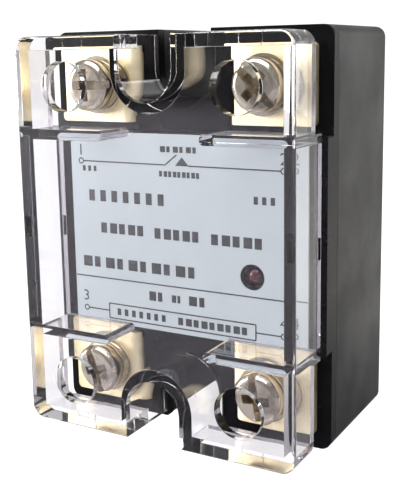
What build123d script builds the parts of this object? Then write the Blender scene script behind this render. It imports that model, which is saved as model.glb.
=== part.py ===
from build123d import *
import os

# A panel-mount solid state relay with four screw terminals and a clear lift-off cover.
#
# Every piece is modelled lying on its back: X to the right, Y up the front, Z forward out of the
# front, all in millimetres. write() then stands it up, so that the finished frame has +X right,
# -Y forward and +Z up, with the origin at the centre of the back mounting face.
# A "depth" is a distance forward from that face.

# ---- housing -------------------------------------------------------------------------------
BODY_W = 45.0  # across
BODY_H = 58.5  # top to bottom
BODY_R = 1.6  # corners seen from the front
DECK_DEPTH = 21.0  # back face to the deck that the terminals lie on
CASE_WALL = 1.9
CASE_SETBACK = 0.2  # the base plate stands this far behind the case
LEDGE_W = 1.0  # ledge inside the case, which the base plate is pressed against
LEDGE_T = 1.5
LID_T = 1.6
SKIRT_T = 1.2  # rim under the lid that plugs into the case
SKIRT_DEPTH = 2.5
SKIRT_CLEAR = 0.1
BLOCK_RISE = 2.0  # label block above the deck
BLOCK_R = 0.4
TERMINAL_ZONE = 14.25  # top or bottom edge of the housing to the label block

# ---- mounting ------------------------------------------------------------------------------
MOUNT_EDGE = 5.45  # housing edge to the centre of a mounting hole
MOUNT_HOLE_R = 2.25
NOTCH_R = 4.3  # notch through the housing, for the mounting screw's head
NOTCH_WALL = 1.4
BASE_T = 2.5
BASE_R = 1.0
BASE_CLEAR = 0.1

# ---- terminals -----------------------------------------------------------------------------
SCREW_SIDE = 9.0  # side of the housing to the screw's axis
SCREW_EDGE = 7.75  # top or bottom edge of the housing to the screw's axis
STRAP_T = 1.2
STRAP_OUTER = 6.9  # screw axis to the strap's outer edge
STRAP_INNER = 5.6  # screw axis to the outside of the bent tongue
STRAP_HALF_H = 5.5
STRAP_BEND_R = 1.5
STRAP_CORNER_R = 0.7
TONGUE_HALF_H = 4.5
TONGUE_DEPTH = 12.0  # back face to the end of the tongue
TONGUE_CLEAR = 0.1
THREAD_R = 1.95
THREAD_CLEAR = 0.05  # running clearance of screw in nut
STRAP_HOLE_R = 2.25
NUT_SIDE = 7.0
NUT_T = 3.2
NUT_CLEAR = 0.05
NUT_BOSS_WALL = 0.95
NUT_BOSS_FLOOR = 2.8
SCREW_TIP = 1.8  # screw beyond the nut when tight
TIP_ROOM = 0.4
TIP_CHAMFER = 0.4
WASHER_R = 4.2
WASHER_T = 0.7
WASHER_BORE_R = 2.15
SPRING_R = 3.6
SPRING_T = 0.9
SPRING_BORE_R = 2.05
SPRING_GAP = 0.7
HEAD_R = 3.7
HEAD_T = 2.4
HEAD_ROUND = 1.0
SLOT_W = 1.1
SLOT_DEPTH = 1.3
CROSS_W = 1.3
CROSS_REACH = 2.3
CROSS_DEPTH = 1.7
SCREW_TURN = {1: 2.0, 2: 137.0, 3: 108.0, 4: 97.0}  # how far round from level each slot stands

# ---- label and lamp ------------------------------------------------------------------------
LABEL_T = 0.2
LABEL_SIDE = 4.0  # side of the housing to the label
LABEL_EDGE = 0.4  # edge of the block to the label
LABEL_R = 0.9
LAMP_SIDE = 10.6  # right side of the housing to the lamp
LAMP_EDGE = 10.2  # bottom edge of the block to the lamp
LAMP_R = 1.5
LAMP_CLEAR = 0.1
LAMP_SUNK = 0.1  # top of the dome below the face of the block
LAMP_LENGTH = 4.6
LAMP_FLANGE_R = 1.9
LAMP_FLANGE_T = 0.9
LABEL_HOLE_R = 1.85

# ---- clear cover ---------------------------------------------------------------------------
COVER_INSET = 0.75  # housing edge to the cover, all round
COVER_R = 2.0
COVER_DEPTH = 32.0  # back face to the front of the cover
COVER_FACE_T = 1.8
COVER_WALL = 1.9
COVER_ROUND = 0.4
WIRE_GAP = 4.5  # deck to the back edge of the cover's walls at the terminals
LABEL_GAP = 0.1  # label to the back edge of the cover's walls over the block
SHELF_T = 1.4
SHELF_LAP = 0.4  # how far a shelf reaches past the edge of the block
SHELF_REACH = 7.8  # middle of the housing to the inner end of a shelf
COVER_NOTCH_R = 4.4
COVER_NOTCH_WALL = 1.45
ACCESS_R = 3.5  # round hole over each screw
TAB_W = 3.0
TAB_T = 1.2
TAB_DEPTH = 2.6
TAB_CLEAR = 0.15
EJECTOR_R = 1.7  # round dents that the mould's ejector pins leave in the ends of the cover's walls
EJECTOR_DENT = 0.15
EJECTOR_X = 14.0  # middle of the housing to the centre of a dent

# ---- inside --------------------------------------------------------------------------------
SUBSTRATE_T = 0.8
SUBSTRATE_HALF_H = 12.5
SUBSTRATE_MARGIN = 1.0
PAD_T = 0.3
PAD_GAP = 1.2
PAD_HALF_H = 11.0
DIE_SIDE = 6.0
DIE_T = 0.4
DIE_X = 4.6
DIE_Y = 4.6
CLIP_T = 0.5
CLIP_W = 3.0
CLIP_RISE = 1.2
BUSBAR_T = 0.8
BUSBAR_W = 6.0
BUSBAR_FOOT = 5.0
BUSBAR_LAP = 2.8
BOARD_T = 1.2
BOARD_SIDE_CLEAR = 0.6
BOARD_EDGE = 0.5
POST_R = 1.3
POST_INSET = 2.6
LEAD_T = 0.5
LEAD_H = 1.5
LEAD_LAP = 4.0  # on the tongue
LEAD_ON_BOARD = 2.5
WIRE_R = 0.3
GATE_WIRE_X = 2.2  # from the middle of a chip to its gate wire
RESIN_DEPTH = 7.5
RESIN_CLEAR = 0.1

# ---- parts on the board, each with its centre across and up the board ----------------------
CHIP_LIFT = 0.5  # board to the underside of a moulded package
PIN_PITCH = 2.54
PIN_W = 0.6
PIN_T = 0.4
OPTOCOUPLER_AT = (0.0, 0.0)
OPTOCOUPLER_SIZE = (8.8, 6.4, 3.3)
OPTOCOUPLER_PINS = 3  # on each side
RECTIFIER_AT = (-11.0, -3.0)
RECTIFIER_SIZE = (6.4, 6.4, 2.6)
RECTIFIER_PINS = 2
AXIAL_GAP = 0.3  # board to the underside of a part lying on it
AXIAL_ROUND = 1 / 3  # of its radius
POWER_RESISTOR_LENGTH = 8.0
POWER_RESISTOR_SPAN = 12.0  # over its wires
INPUT_RESISTOR_AT = (-0.5, -8.0)
INPUT_RESISTOR_R = 1.5
SNUBBER_RESISTOR_AT = (-1.0, 7.8)
SNUBBER_RESISTOR_R = 1.6
GATE_RESISTOR_X = 7.45
GATE_RESISTOR_Y = (0.0, 2.4)
GATE_RESISTOR_R = 0.8
GATE_RESISTOR_LENGTH = 3.4
GATE_RESISTOR_SPAN = 5.4
INPUT_CAP_AT = (-12.5, 3.5)
INPUT_CAP_R = 2.5
INPUT_CAP_HEIGHT = 6.0
CAN_ROUND = 1 / 6  # of its radius
SNUBBER_CAP_AT = (11.5, 7.0)
SNUBBER_CAP_SIZE = (8.0, 4.0, 6.0)
SNUBBER_CAP_ROUND = 0.5
TRANSISTOR_AT = (-6.9, 3.5)
TRANSISTOR_R = 2.3
TRANSISTOR_HEIGHT = 4.5
TRANSISTOR_LIFT = 1.2
LEG_PITCH = 1.27
LEG_R = 0.25

# ---- worked out ----------------------------------------------------------------------------
SEAM_DEPTH = DECK_DEPTH - LID_T
INNER_W = BODY_W - 2 * CASE_WALL
INNER_H = BODY_H - 2 * CASE_WALL
BLOCK_H = BODY_H - 2 * TERMINAL_ZONE
BLOCK_DEPTH = DECK_DEPTH + BLOCK_RISE
MOUNT_Y = BODY_H / 2 - MOUNT_EDGE
SCREW_X = BODY_W / 2 - SCREW_SIDE
SCREW_Y = BODY_H / 2 - SCREW_EDGE
STRAP_IN_X = SCREW_X - STRAP_INNER
STRAP_TOP = DECK_DEPTH + STRAP_T
NUT_BACK = DECK_DEPTH - NUT_T
TIP_DEPTH = NUT_BACK - SCREW_TIP
WASHER_TOP = STRAP_TOP + WASHER_T
HEAD_BACK = WASHER_TOP + SPRING_T
HEAD_TOP = HEAD_BACK + HEAD_T
LAMP_X = BODY_W / 2 - LAMP_SIDE
LAMP_Y = LAMP_EDGE - BLOCK_H / 2
LAMP_BACK = BLOCK_DEPTH - LAMP_SUNK - LAMP_LENGTH
COVER_W = BODY_W - 2 * COVER_INSET
COVER_H = BODY_H - 2 * COVER_INSET
BAY_BACK = DECK_DEPTH + WIRE_GAP
OVER_LABEL = BLOCK_DEPTH + LABEL_T + LABEL_GAP
FACE_BACK = COVER_DEPTH - COVER_FACE_T
SUBSTRATE_DEPTH = BASE_T + SUBSTRATE_T
PAD_DEPTH = SUBSTRATE_DEPTH + PAD_T
DIE_DEPTH = PAD_DEPTH + DIE_T
FOOT_OUT_X = STRAP_IN_X + STRAP_T + BUSBAR_FOOT
BOARD_BACK = TONGUE_DEPTH
BOARD_DEPTH = BOARD_BACK + BOARD_T
BOARD_W = INNER_W - 2 * BOARD_SIDE_CLEAR
BOARD_H = BLOCK_H - 2 * BOARD_EDGE
OVERRUN = 5.0  # how far a cutting tool runs past what it cuts

TERMINALS = {1: (-1, 1), 2: (1, 1), 3: (-1, -1), 4: (1, -1)}  # side and end of each terminal


# ---- helpers -------------------------------------------------------------------------------
def box(x0, x1, y0, y1, z0, z1):
    """A block between three pairs of limits."""
    return Pos((x0 + x1) / 2, (y0 + y1) / 2, (z0 + z1) / 2) * Box(x1 - x0, y1 - y0, z1 - z0)


def slab(width, height, radius, back, front):
    """A block with rounded corners, centred, between two depths."""
    return Pos(0, 0, back) * extrude(RectangleRounded(width, height, radius), front - back)


def rod(x, y, radius, back, front):
    """A round bar along the depth axis."""
    return Pos(x, y, (back + front) / 2) * Cylinder(radius, front - back)


def to_corner(shape, number):
    """Turns a shape made for the upper right terminal into the one for the given terminal."""
    side, end = TERMINALS[number]
    if side < 0:
        shape = mirror(shape, Plane.YZ)
    if end < 0:
        shape = mirror(shape, Plane.XZ)
    return shape


def both_notches(radius, back, front):
    """The upper and lower notch: half round about the mounting hole, and open outwards."""
    reach = MOUNT_EDGE + OVERRUN
    outline = Pos(0, MOUNT_Y) * Circle(radius)
    outline += Pos(0, MOUNT_Y + reach / 2) * Rectangle(2 * radius, reach)
    upper = Pos(0, 0, back) * extrude(outline, front - back)
    return upper + mirror(upper, Plane.XZ)


def write(shape, node):
    """Stands a piece up in the finished frame and writes it as its own sub-part."""
    export_step(Rotation(90, 0, 0) * shape, f"parts/{node}.step")


# ---- housing -------------------------------------------------------------------------------
def rear_case():
    """Open box with a ledge for the base plate and a wall round each notch."""
    case = slab(BODY_W, BODY_H, BODY_R, CASE_SETBACK, SEAM_DEPTH)
    room = slab(INNER_W - 2 * LEDGE_W, INNER_H - 2 * LEDGE_W, BASE_R, BASE_T, BASE_T + LEDGE_T)
    room += slab(INNER_W, INNER_H, BASE_R, BASE_T + LEDGE_T, SEAM_DEPTH)
    room -= both_notches(NOTCH_R + NOTCH_WALL, BASE_T, SEAM_DEPTH)
    case -= slab(INNER_W, INNER_H, BASE_R, CASE_SETBACK, BASE_T)
    case -= room
    return case - both_notches(NOTCH_R, BASE_T, SEAM_DEPTH)


def base_plate():
    """Heat spreader with the two mounting holes, let into the back of the case."""
    plate = slab(INNER_W - 2 * BASE_CLEAR, INNER_H - 2 * BASE_CLEAR, BASE_R - BASE_CLEAR, 0, BASE_T)
    for end in (1, -1):
        plate -= rod(0, end * MOUNT_Y, MOUNT_HOLE_R, 0, BASE_T)
    return plate


def lid_skirt():
    """Rim under the lid, broken where the notch walls stand."""
    plug_w, plug_h = INNER_W - 2 * SKIRT_CLEAR, INNER_H - 2 * SKIRT_CLEAR
    back = SEAM_DEPTH - SKIRT_DEPTH
    rim = slab(plug_w, plug_h, BASE_R - SKIRT_CLEAR, back, SEAM_DEPTH)
    rim -= box(-plug_w / 2 + SKIRT_T, plug_w / 2 - SKIRT_T, -plug_h / 2 + SKIRT_T, plug_h / 2 - SKIRT_T,
               back, SEAM_DEPTH)
    return rim - both_notches(NOTCH_R + NOTCH_WALL + SKIRT_CLEAR, back, SEAM_DEPTH)


def nut_boss():
    """Block under the deck that holds the upper right nut."""
    half = NUT_SIDE / 2 + NUT_CLEAR + NUT_BOSS_WALL
    inner = STRAP_IN_X + STRAP_T + TONGUE_CLEAR
    return box(inner, SCREW_X + half, SCREW_Y - half, SCREW_Y + half, NUT_BACK - NUT_BOSS_FLOOR, SEAM_DEPTH)


def nut_room():
    """What is cut from the deck and boss for the upper right nut, its screw tip and the tongue."""
    half = NUT_SIDE / 2 + NUT_CLEAR
    room = box(SCREW_X - half, SCREW_X + half, SCREW_Y - half, SCREW_Y + half, NUT_BACK, DECK_DEPTH)
    room += rod(SCREW_X, SCREW_Y, STRAP_HOLE_R, TIP_DEPTH - TIP_ROOM, NUT_BACK)
    tongue_half = TONGUE_HALF_H + TONGUE_CLEAR
    room += box(STRAP_IN_X - TONGUE_CLEAR, STRAP_IN_X + STRAP_T + TONGUE_CLEAR,
                SCREW_Y - tongue_half, SCREW_Y + tongue_half, SEAM_DEPTH - SKIRT_DEPTH, DECK_DEPTH)
    return room


def tab_place(grow):
    """The two tabs of the cover, or with a clearance the slots that they go into."""
    middle = COVER_W / 2 - COVER_WALL / 2
    right = box(middle - TAB_T / 2 - grow, middle + TAB_T / 2 + grow, -TAB_W / 2 - grow, TAB_W / 2 + grow,
                OVER_LABEL - TAB_DEPTH - grow, OVER_LABEL)
    return right + mirror(right, Plane.YZ)


def front_lid():
    """Deck, hollow label block, plug-in rim, board posts and nut pockets in one moulding."""
    lid = slab(BODY_W, BODY_H, BODY_R, SEAM_DEPTH, DECK_DEPTH)
    lid += slab(BODY_W, BLOCK_H, BLOCK_R, DECK_DEPTH, BLOCK_DEPTH)
    lid -= box(-BODY_W / 2 + CASE_WALL, BODY_W / 2 - CASE_WALL, -BLOCK_H / 2 + LID_T, BLOCK_H / 2 - LID_T,
               SEAM_DEPTH, BLOCK_DEPTH - LID_T)
    lid += lid_skirt()
    for side in (1, -1):
        for end in (1, -1):
            lid += rod(side * (BOARD_W / 2 - POST_INSET), end * (BOARD_H / 2 - POST_INSET), POST_R,
                       BOARD_DEPTH, BLOCK_DEPTH - LID_T)
    for number in TERMINALS:
        lid += to_corner(nut_boss(), number)
        lid -= to_corner(nut_room(), number)
    lid -= rod(LAMP_X, LAMP_Y, LAMP_R + LAMP_CLEAR, BLOCK_DEPTH - LID_T, BLOCK_DEPTH)
    lid -= tab_place(TAB_CLEAR)
    return lid - both_notches(NOTCH_R, SEAM_DEPTH, DECK_DEPTH)


def label():
    """Thin plate on the block, with a hole for the lamp."""
    plate = slab(BODY_W - 2 * LABEL_SIDE, BLOCK_H - 2 * LABEL_EDGE, LABEL_R, BLOCK_DEPTH,
                 BLOCK_DEPTH + LABEL_T)
    return plate - rod(LAMP_X, LAMP_Y, LABEL_HOLE_R, BLOCK_DEPTH, BLOCK_DEPTH + LABEL_T)


# ---- terminals, made for the upper right one unless they say otherwise ---------------------
def terminal_strap():
    """Plate on the deck, bent back at its inner edge into a tongue that enters the housing."""
    outer = SCREW_X + STRAP_OUTER
    points = [(outer, DECK_DEPTH), (outer, STRAP_TOP), (STRAP_IN_X, STRAP_TOP), (STRAP_IN_X, TONGUE_DEPTH),
              (STRAP_IN_X + STRAP_T, TONGUE_DEPTH), (STRAP_IN_X + STRAP_T, DECK_DEPTH), (outer, DECK_DEPTH)]
    side_view = make_face(Polyline(*points))
    bend = side_view.vertices().sort_by(Axis.X)[:2].sort_by(Axis.Y)[-1]
    side_view = fillet(bend, STRAP_BEND_R)
    # the side view is drawn in X and depth, then run along Y
    strap = extrude(Plane((0, SCREW_Y, 0), x_dir=(1, 0, 0), z_dir=(0, -1, 0)) * side_view, STRAP_HALF_H,
                    both=True)
    for low, high in ((-STRAP_HALF_H, -TONGUE_HALF_H), (TONGUE_HALF_H, STRAP_HALF_H)):
        strap -= box(STRAP_IN_X, STRAP_IN_X + STRAP_T, SCREW_Y + low, SCREW_Y + high, TONGUE_DEPTH,
                     DECK_DEPTH)
    corners = strap.edges().filter_by(Axis.Z).sort_by(Axis.X)[-2:]
    strap = fillet(corners, STRAP_CORNER_R)
    return strap - rod(SCREW_X, SCREW_Y, STRAP_HOLE_R, DECK_DEPTH, STRAP_TOP)


def square_nut():
    """Square nut under the strap, held from turning by its pocket."""
    half = NUT_SIDE / 2
    nut = box(SCREW_X - half, SCREW_X + half, SCREW_Y - half, SCREW_Y + half, NUT_BACK, DECK_DEPTH)
    return nut - rod(SCREW_X, SCREW_Y, THREAD_R + THREAD_CLEAR, NUT_BACK, DECK_DEPTH)


def flat_washer():
    """Plain washer that presses on the wire or lug."""
    washer = rod(SCREW_X, SCREW_Y, WASHER_R, STRAP_TOP, WASHER_TOP)
    return washer - rod(SCREW_X, SCREW_Y, WASHER_BORE_R, STRAP_TOP, WASHER_TOP)


def at_screw(number, shape):
    """Moves a shape made on the depth axis to a terminal's screw, turned as that screw stands."""
    side, end = TERMINALS[number]
    return Pos(side * SCREW_X, end * SCREW_Y) * Rotation(0, 0, SCREW_TURN[number]) * shape


def spring_washer():
    """Split ring under the screw's head, made on the depth axis."""
    ring = rod(0, 0, SPRING_R, WASHER_TOP, HEAD_BACK) - rod(0, 0, SPRING_BORE_R, WASHER_TOP, HEAD_BACK)
    return ring - box(0, SPRING_R, -SPRING_GAP / 2, SPRING_GAP / 2, WASHER_TOP, HEAD_BACK)


def terminal_screw():
    """Pan head screw with a straight slot and a cross in one, made on the depth axis."""
    shank = rod(0, 0, THREAD_R, TIP_DEPTH, HEAD_BACK)
    shank = chamfer(shank.edges().sort_by(Axis.Z)[0], TIP_CHAMFER)
    head = rod(0, 0, HEAD_R, HEAD_BACK, HEAD_TOP)
    head = fillet(head.edges().sort_by(Axis.Z)[-1], HEAD_ROUND)
    head -= box(-HEAD_R, HEAD_R, -SLOT_W / 2, SLOT_W / 2, HEAD_TOP - SLOT_DEPTH, HEAD_TOP)
    for half_x, half_y in ((CROSS_REACH, CROSS_W / 2), (CROSS_W / 2, CROSS_REACH)):
        head -= box(-half_x, half_x, -half_y, half_y, HEAD_TOP - CROSS_DEPTH, HEAD_TOP)
    return shank + head


# ---- clear cover ---------------------------------------------------------------------------
def cover_shelf():
    """Rib between the upper right terminal and the label, with a rounded inner end."""
    outer_y = BLOCK_H / 2 + SHELF_LAP
    reach = COVER_W / 2 - COVER_WALL / 2
    end = SHELF_REACH + SHELF_T / 2
    shelf = box(end, reach, outer_y - SHELF_T, outer_y, OVER_LABEL, COVER_DEPTH - COVER_FACE_T / 2)
    return shelf + rod(end, outer_y - SHELF_T / 2, SHELF_T / 2, OVER_LABEL, COVER_DEPTH - COVER_FACE_T / 2)


def cover():
    """One clear moulding: face, walls, shelves, notch walls and the tabs that hold it."""
    shell = slab(COVER_W, COVER_H, COVER_R, BAY_BACK, COVER_DEPTH)
    shell = fillet(shell.faces().sort_by(Axis.Z)[-1].edges(), COVER_ROUND)
    half_y = BLOCK_H / 2 + SHELF_LAP
    shell += box(-COVER_W / 2, COVER_W / 2, -half_y, half_y, OVER_LABEL, BAY_BACK)
    shell -= box(-COVER_W / 2 + COVER_WALL, COVER_W / 2 - COVER_WALL, -COVER_H / 2 + COVER_WALL,
                 COVER_H / 2 - COVER_WALL, OVER_LABEL, FACE_BACK)
    half_h = COVER_H / 2
    notch_walls = both_notches(COVER_NOTCH_R + COVER_NOTCH_WALL, DECK_DEPTH, COVER_DEPTH - COVER_FACE_T / 2)
    shell += notch_walls & box(-COVER_W, COVER_W, -half_h, half_h, DECK_DEPTH, COVER_DEPTH)
    shell -= both_notches(COVER_NOTCH_R, DECK_DEPTH, COVER_DEPTH)
    for number in TERMINALS:
        shell += to_corner(cover_shelf(), number)
        shell -= to_corner(rod(SCREW_X, SCREW_Y, ACCESS_R, FACE_BACK, COVER_DEPTH), number)
        dent = rod(EJECTOR_X, half_h - COVER_WALL / 2, EJECTOR_R, BAY_BACK, BAY_BACK + EJECTOR_DENT)
        shell -= to_corner(dent, number)
    return shell + tab_place(0)


# ---- power side, inside --------------------------------------------------------------------
def ceramic_substrate():
    """Insulating tile between the live copper and the base plate."""
    half_w = FOOT_OUT_X + SUBSTRATE_MARGIN
    return box(-half_w, half_w, -SUBSTRATE_HALF_H, SUBSTRATE_HALF_H, BASE_T, SUBSTRATE_DEPTH)


def copper_pads():
    """Two copper lands, one for each output terminal."""
    right = box(PAD_GAP / 2, FOOT_OUT_X, -PAD_HALF_H, PAD_HALF_H, SUBSTRATE_DEPTH, PAD_DEPTH)
    return Compound([right, mirror(right, Plane.YZ)])


def power_chip(side):
    """Bare thyristor on one land: the two stand diagonally, back to back."""
    return Pos(side * DIE_X, -side * DIE_Y, PAD_DEPTH + DIE_T / 2) * Box(DIE_SIDE, DIE_SIDE, DIE_T)


def chip_clip(side):
    """Bridge from the top of one chip across to the other chip's land."""
    low, high = DIE_DEPTH, DIE_DEPTH + CLIP_RISE
    y = -side * DIE_Y
    near, far = side * DIE_X, -side * (DIE_X + CLIP_W / 2)
    inner, outer = sorted((near, far))
    clip = box(inner, outer, y - CLIP_W / 2, y + CLIP_W / 2, high, high + CLIP_T)
    clip += box(near - CLIP_T, near + CLIP_T, y - CLIP_W / 2, y + CLIP_W / 2, low, high + CLIP_T)
    return clip + box(far - CLIP_T, far + CLIP_T, y - CLIP_W / 2, y + CLIP_W / 2, PAD_DEPTH, high + CLIP_T)


def output_busbar():
    """Strip from the upper right tongue down to its land and along to it."""
    back = STRAP_IN_X + STRAP_T
    top_y = SCREW_Y + BUSBAR_W / 2
    riser = box(back, back + BUSBAR_T, top_y - BUSBAR_W, top_y, PAD_DEPTH, TONGUE_DEPTH + BUSBAR_LAP)
    foot = box(back, FOOT_OUT_X, PAD_HALF_H - BUSBAR_FOOT / 2, top_y, PAD_DEPTH, PAD_DEPTH + BUSBAR_T)
    return riser + foot


def gate_wires():
    """Two straight wires from the chips to the board."""
    return Compound([rod(side * (DIE_X + GATE_WIRE_X), -side * DIE_Y, WIRE_R, DIE_DEPTH, BOARD_BACK)
                     for side in (1, -1)])


def resin_room():
    """The space that the power side takes out of the resin."""
    grow = RESIN_CLEAR
    half_w = FOOT_OUT_X + SUBSTRATE_MARGIN + grow
    half_h = SUBSTRATE_HALF_H + grow
    top = DIE_DEPTH + CLIP_RISE + CLIP_T + grow
    room = box(-half_w, half_w, -half_h, half_h, BASE_T, top)
    for side in (1, -1):
        room += rod(side * (DIE_X + GATE_WIRE_X), -side * DIE_Y, WIRE_R + grow, top, RESIN_DEPTH)
        inner, outer = STRAP_IN_X + STRAP_T - grow, FOOT_OUT_X + grow
        low, high = SUBSTRATE_HALF_H - grow, SCREW_Y + BUSBAR_W / 2 + grow
        foot = box(inner, outer, low, high, PAD_DEPTH - grow, PAD_DEPTH + BUSBAR_T + grow)
        foot += box(inner, inner + BUSBAR_T + 2 * grow, high - BUSBAR_W - 2 * grow, high, PAD_DEPTH - grow,
                    RESIN_DEPTH)
        room += foot if side > 0 else mirror(foot, Plane.YZ)
    return room


def potting_resin():
    """Resin that seals the power side to the base plate, one block with room for what it covers."""
    block = slab(INNER_W - 2 * LEDGE_W - 2 * RESIN_CLEAR, INNER_H - 2 * LEDGE_W - 2 * RESIN_CLEAR,
                 BASE_R - RESIN_CLEAR, BASE_T, RESIN_DEPTH)
    block -= both_notches(NOTCH_R + NOTCH_WALL + RESIN_CLEAR, BASE_T, RESIN_DEPTH)
    return block - resin_room()


# ---- control side, inside ------------------------------------------------------------------
def control_board():
    """Circuit board held between the posts of the lid and the wires from below."""
    return box(-BOARD_W / 2, BOARD_W / 2, -BOARD_H / 2, BOARD_H / 2, BOARD_BACK, BOARD_DEPTH)


def input_lead():
    """Flat lead from the upper right tongue to the board, mirrored down for the input side."""
    back = STRAP_IN_X + STRAP_T
    low_y = SCREW_Y - TONGUE_HALF_H
    lead = box(back, back + LEAD_T, low_y, low_y + LEAD_LAP, TONGUE_DEPTH, BOARD_DEPTH + LEAD_H)
    lead += box(back, back + LEAD_T, BOARD_H / 2 - LEAD_ON_BOARD, low_y + LEAD_LAP, BOARD_DEPTH,
                BOARD_DEPTH + LEAD_H)
    return lead


def legged_chip(place, size, pins):
    """Moulded package standing on two rows of pins."""
    x, y = place
    length, width, height = size
    back = BOARD_DEPTH + CHIP_LIFT
    body = box(x - length / 2, x + length / 2, y - width / 2, y + width / 2, back, back + height)
    for i in range(pins):
        pin_x = x + (i - (pins - 1) / 2) * PIN_PITCH
        for end in (1, -1):
            pin_y = y + end * width / 2
            body += box(pin_x - PIN_W / 2, pin_x + PIN_W / 2, pin_y - PIN_T / 2, pin_y + PIN_T / 2,
                        BOARD_DEPTH, back + height / 2)
    return body


def axial_part(place, radius, length, span):
    """Round part lying along X, with a wire bent down to the board at each end."""
    x, y = place
    height = BOARD_DEPTH + radius + AXIAL_GAP
    body = Pos(x, y, height) * Rotation(0, 90, 0) * Cylinder(radius, length)
    body = fillet(body.edges(), radius * AXIAL_ROUND)
    body += Pos(x, y, height) * Rotation(0, 90, 0) * Cylinder(WIRE_R, span)
    for end in (1, -1):
        body += rod(x + end * (span / 2 - WIRE_R), y, WIRE_R, BOARD_DEPTH, height)
    return body


def power_resistor(place, radius):
    """One of the two larger resistors."""
    return axial_part(place, radius, POWER_RESISTOR_LENGTH, POWER_RESISTOR_SPAN)


def gate_resistors():
    """The pair of small resistors beside the optocoupler."""
    return Compound([axial_part((GATE_RESISTOR_X, y), GATE_RESISTOR_R, GATE_RESISTOR_LENGTH,
                                GATE_RESISTOR_SPAN) for y in GATE_RESISTOR_Y])


def input_capacitor():
    """Round electrolytic capacitor standing on the board."""
    can = rod(*INPUT_CAP_AT, INPUT_CAP_R, BOARD_DEPTH, BOARD_DEPTH + INPUT_CAP_HEIGHT)
    return fillet(can.edges().sort_by(Axis.Z)[-1], INPUT_CAP_R * CAN_ROUND)


def snubber_capacitor():
    """Box-shaped film capacitor."""
    x, y = SNUBBER_CAP_AT
    length, width, height = SNUBBER_CAP_SIZE
    block = box(x - length / 2, x + length / 2, y - width / 2, y + width / 2, BOARD_DEPTH,
                BOARD_DEPTH + height)
    return fillet(block.edges().filter_by(Axis.Z), SNUBBER_CAP_ROUND)


def current_limiter():
    """Half-round transistor on three legs."""
    x, y = TRANSISTOR_AT
    back = BOARD_DEPTH + TRANSISTOR_LIFT
    body = rod(x, y, TRANSISTOR_R, back, back + TRANSISTOR_HEIGHT)
    body -= box(x - TRANSISTOR_R, x + TRANSISTOR_R, y - TRANSISTOR_R, y - TRANSISTOR_R / 2, back,
                back + TRANSISTOR_HEIGHT)
    for i in (-1, 0, 1):
        body += rod(x + i * LEG_PITCH, y, LEG_R, BOARD_DEPTH, back)
    return body


def status_lamp():
    """Round red lamp with a domed end and a flange at its foot."""
    lens = rod(LAMP_X, LAMP_Y, LAMP_R, LAMP_BACK, LAMP_BACK + LAMP_LENGTH - LAMP_R)
    lens += Pos(LAMP_X, LAMP_Y, LAMP_BACK + LAMP_LENGTH - LAMP_R) * Sphere(LAMP_R)
    return lens + rod(LAMP_X, LAMP_Y, LAMP_FLANGE_R, LAMP_BACK, LAMP_BACK + LAMP_FLANGE_T)


def lamp_leads():
    """The lamp's two wires."""
    return Compound([rod(LAMP_X + i * LEG_PITCH, LAMP_Y, LEG_R, BOARD_DEPTH, LAMP_BACK) for i in (-1, 1)])


# ---- writing -------------------------------------------------------------------------------
def main():
    os.makedirs("parts", exist_ok=True)
    write(rear_case(), "rear_case")
    write(front_lid(), "front_lid")
    write(base_plate(), "base_plate")
    write(label(), "label")
    write(cover(), "cover")

    for number in TERMINALS:
        write(to_corner(terminal_strap(), number), f"terminal_strap_{number}")
        write(to_corner(square_nut(), number), f"square_nut_{number}")
        write(to_corner(flat_washer(), number), f"flat_washer_{number}")
        write(at_screw(number, spring_washer()), f"spring_washer_{number}")
        write(at_screw(number, terminal_screw()), f"terminal_screw_{number}")

    write(ceramic_substrate(), "ceramic_substrate")
    write(copper_pads(), "copper_pads")
    for side, number in ((-1, 1), (1, 2)):
        write(power_chip(side), f"power_chip_{number}")
        write(to_corner(output_busbar(), number), f"output_busbar_{number}")
        write(to_corner(input_lead(), number + 2), f"input_lead_{number + 2}")
    write(Compound([chip_clip(1), chip_clip(-1)]), "chip_clips")
    write(gate_wires(), "gate_wires")
    write(potting_resin(), "potting_resin")

    write(control_board(), "control_board")
    write(legged_chip(OPTOCOUPLER_AT, OPTOCOUPLER_SIZE, OPTOCOUPLER_PINS), "optocoupler")
    write(legged_chip(RECTIFIER_AT, RECTIFIER_SIZE, RECTIFIER_PINS), "bridge_rectifier")
    write(power_resistor(INPUT_RESISTOR_AT, INPUT_RESISTOR_R), "input_resistor")
    write(power_resistor(SNUBBER_RESISTOR_AT, SNUBBER_RESISTOR_R), "snubber_resistor")
    write(gate_resistors(), "gate_resistors")
    write(current_limiter(), "current_limiter")
    write(input_capacitor(), "input_capacitor")
    write(snubber_capacitor(), "snubber_capacitor")
    write(status_lamp(), "status_lamp")
    write(lamp_leads(), "lamp_leads")


if __name__ == "__main__":
    main()
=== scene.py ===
"""Looks of a panel-mount solid state relay: black housing, plated terminals and a clear cover."""
import logging
import math
from dataclasses import dataclass
from enum import Enum
from typing import Any, Optional

import bpy
from mathutils import Matrix, Vector


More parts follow.
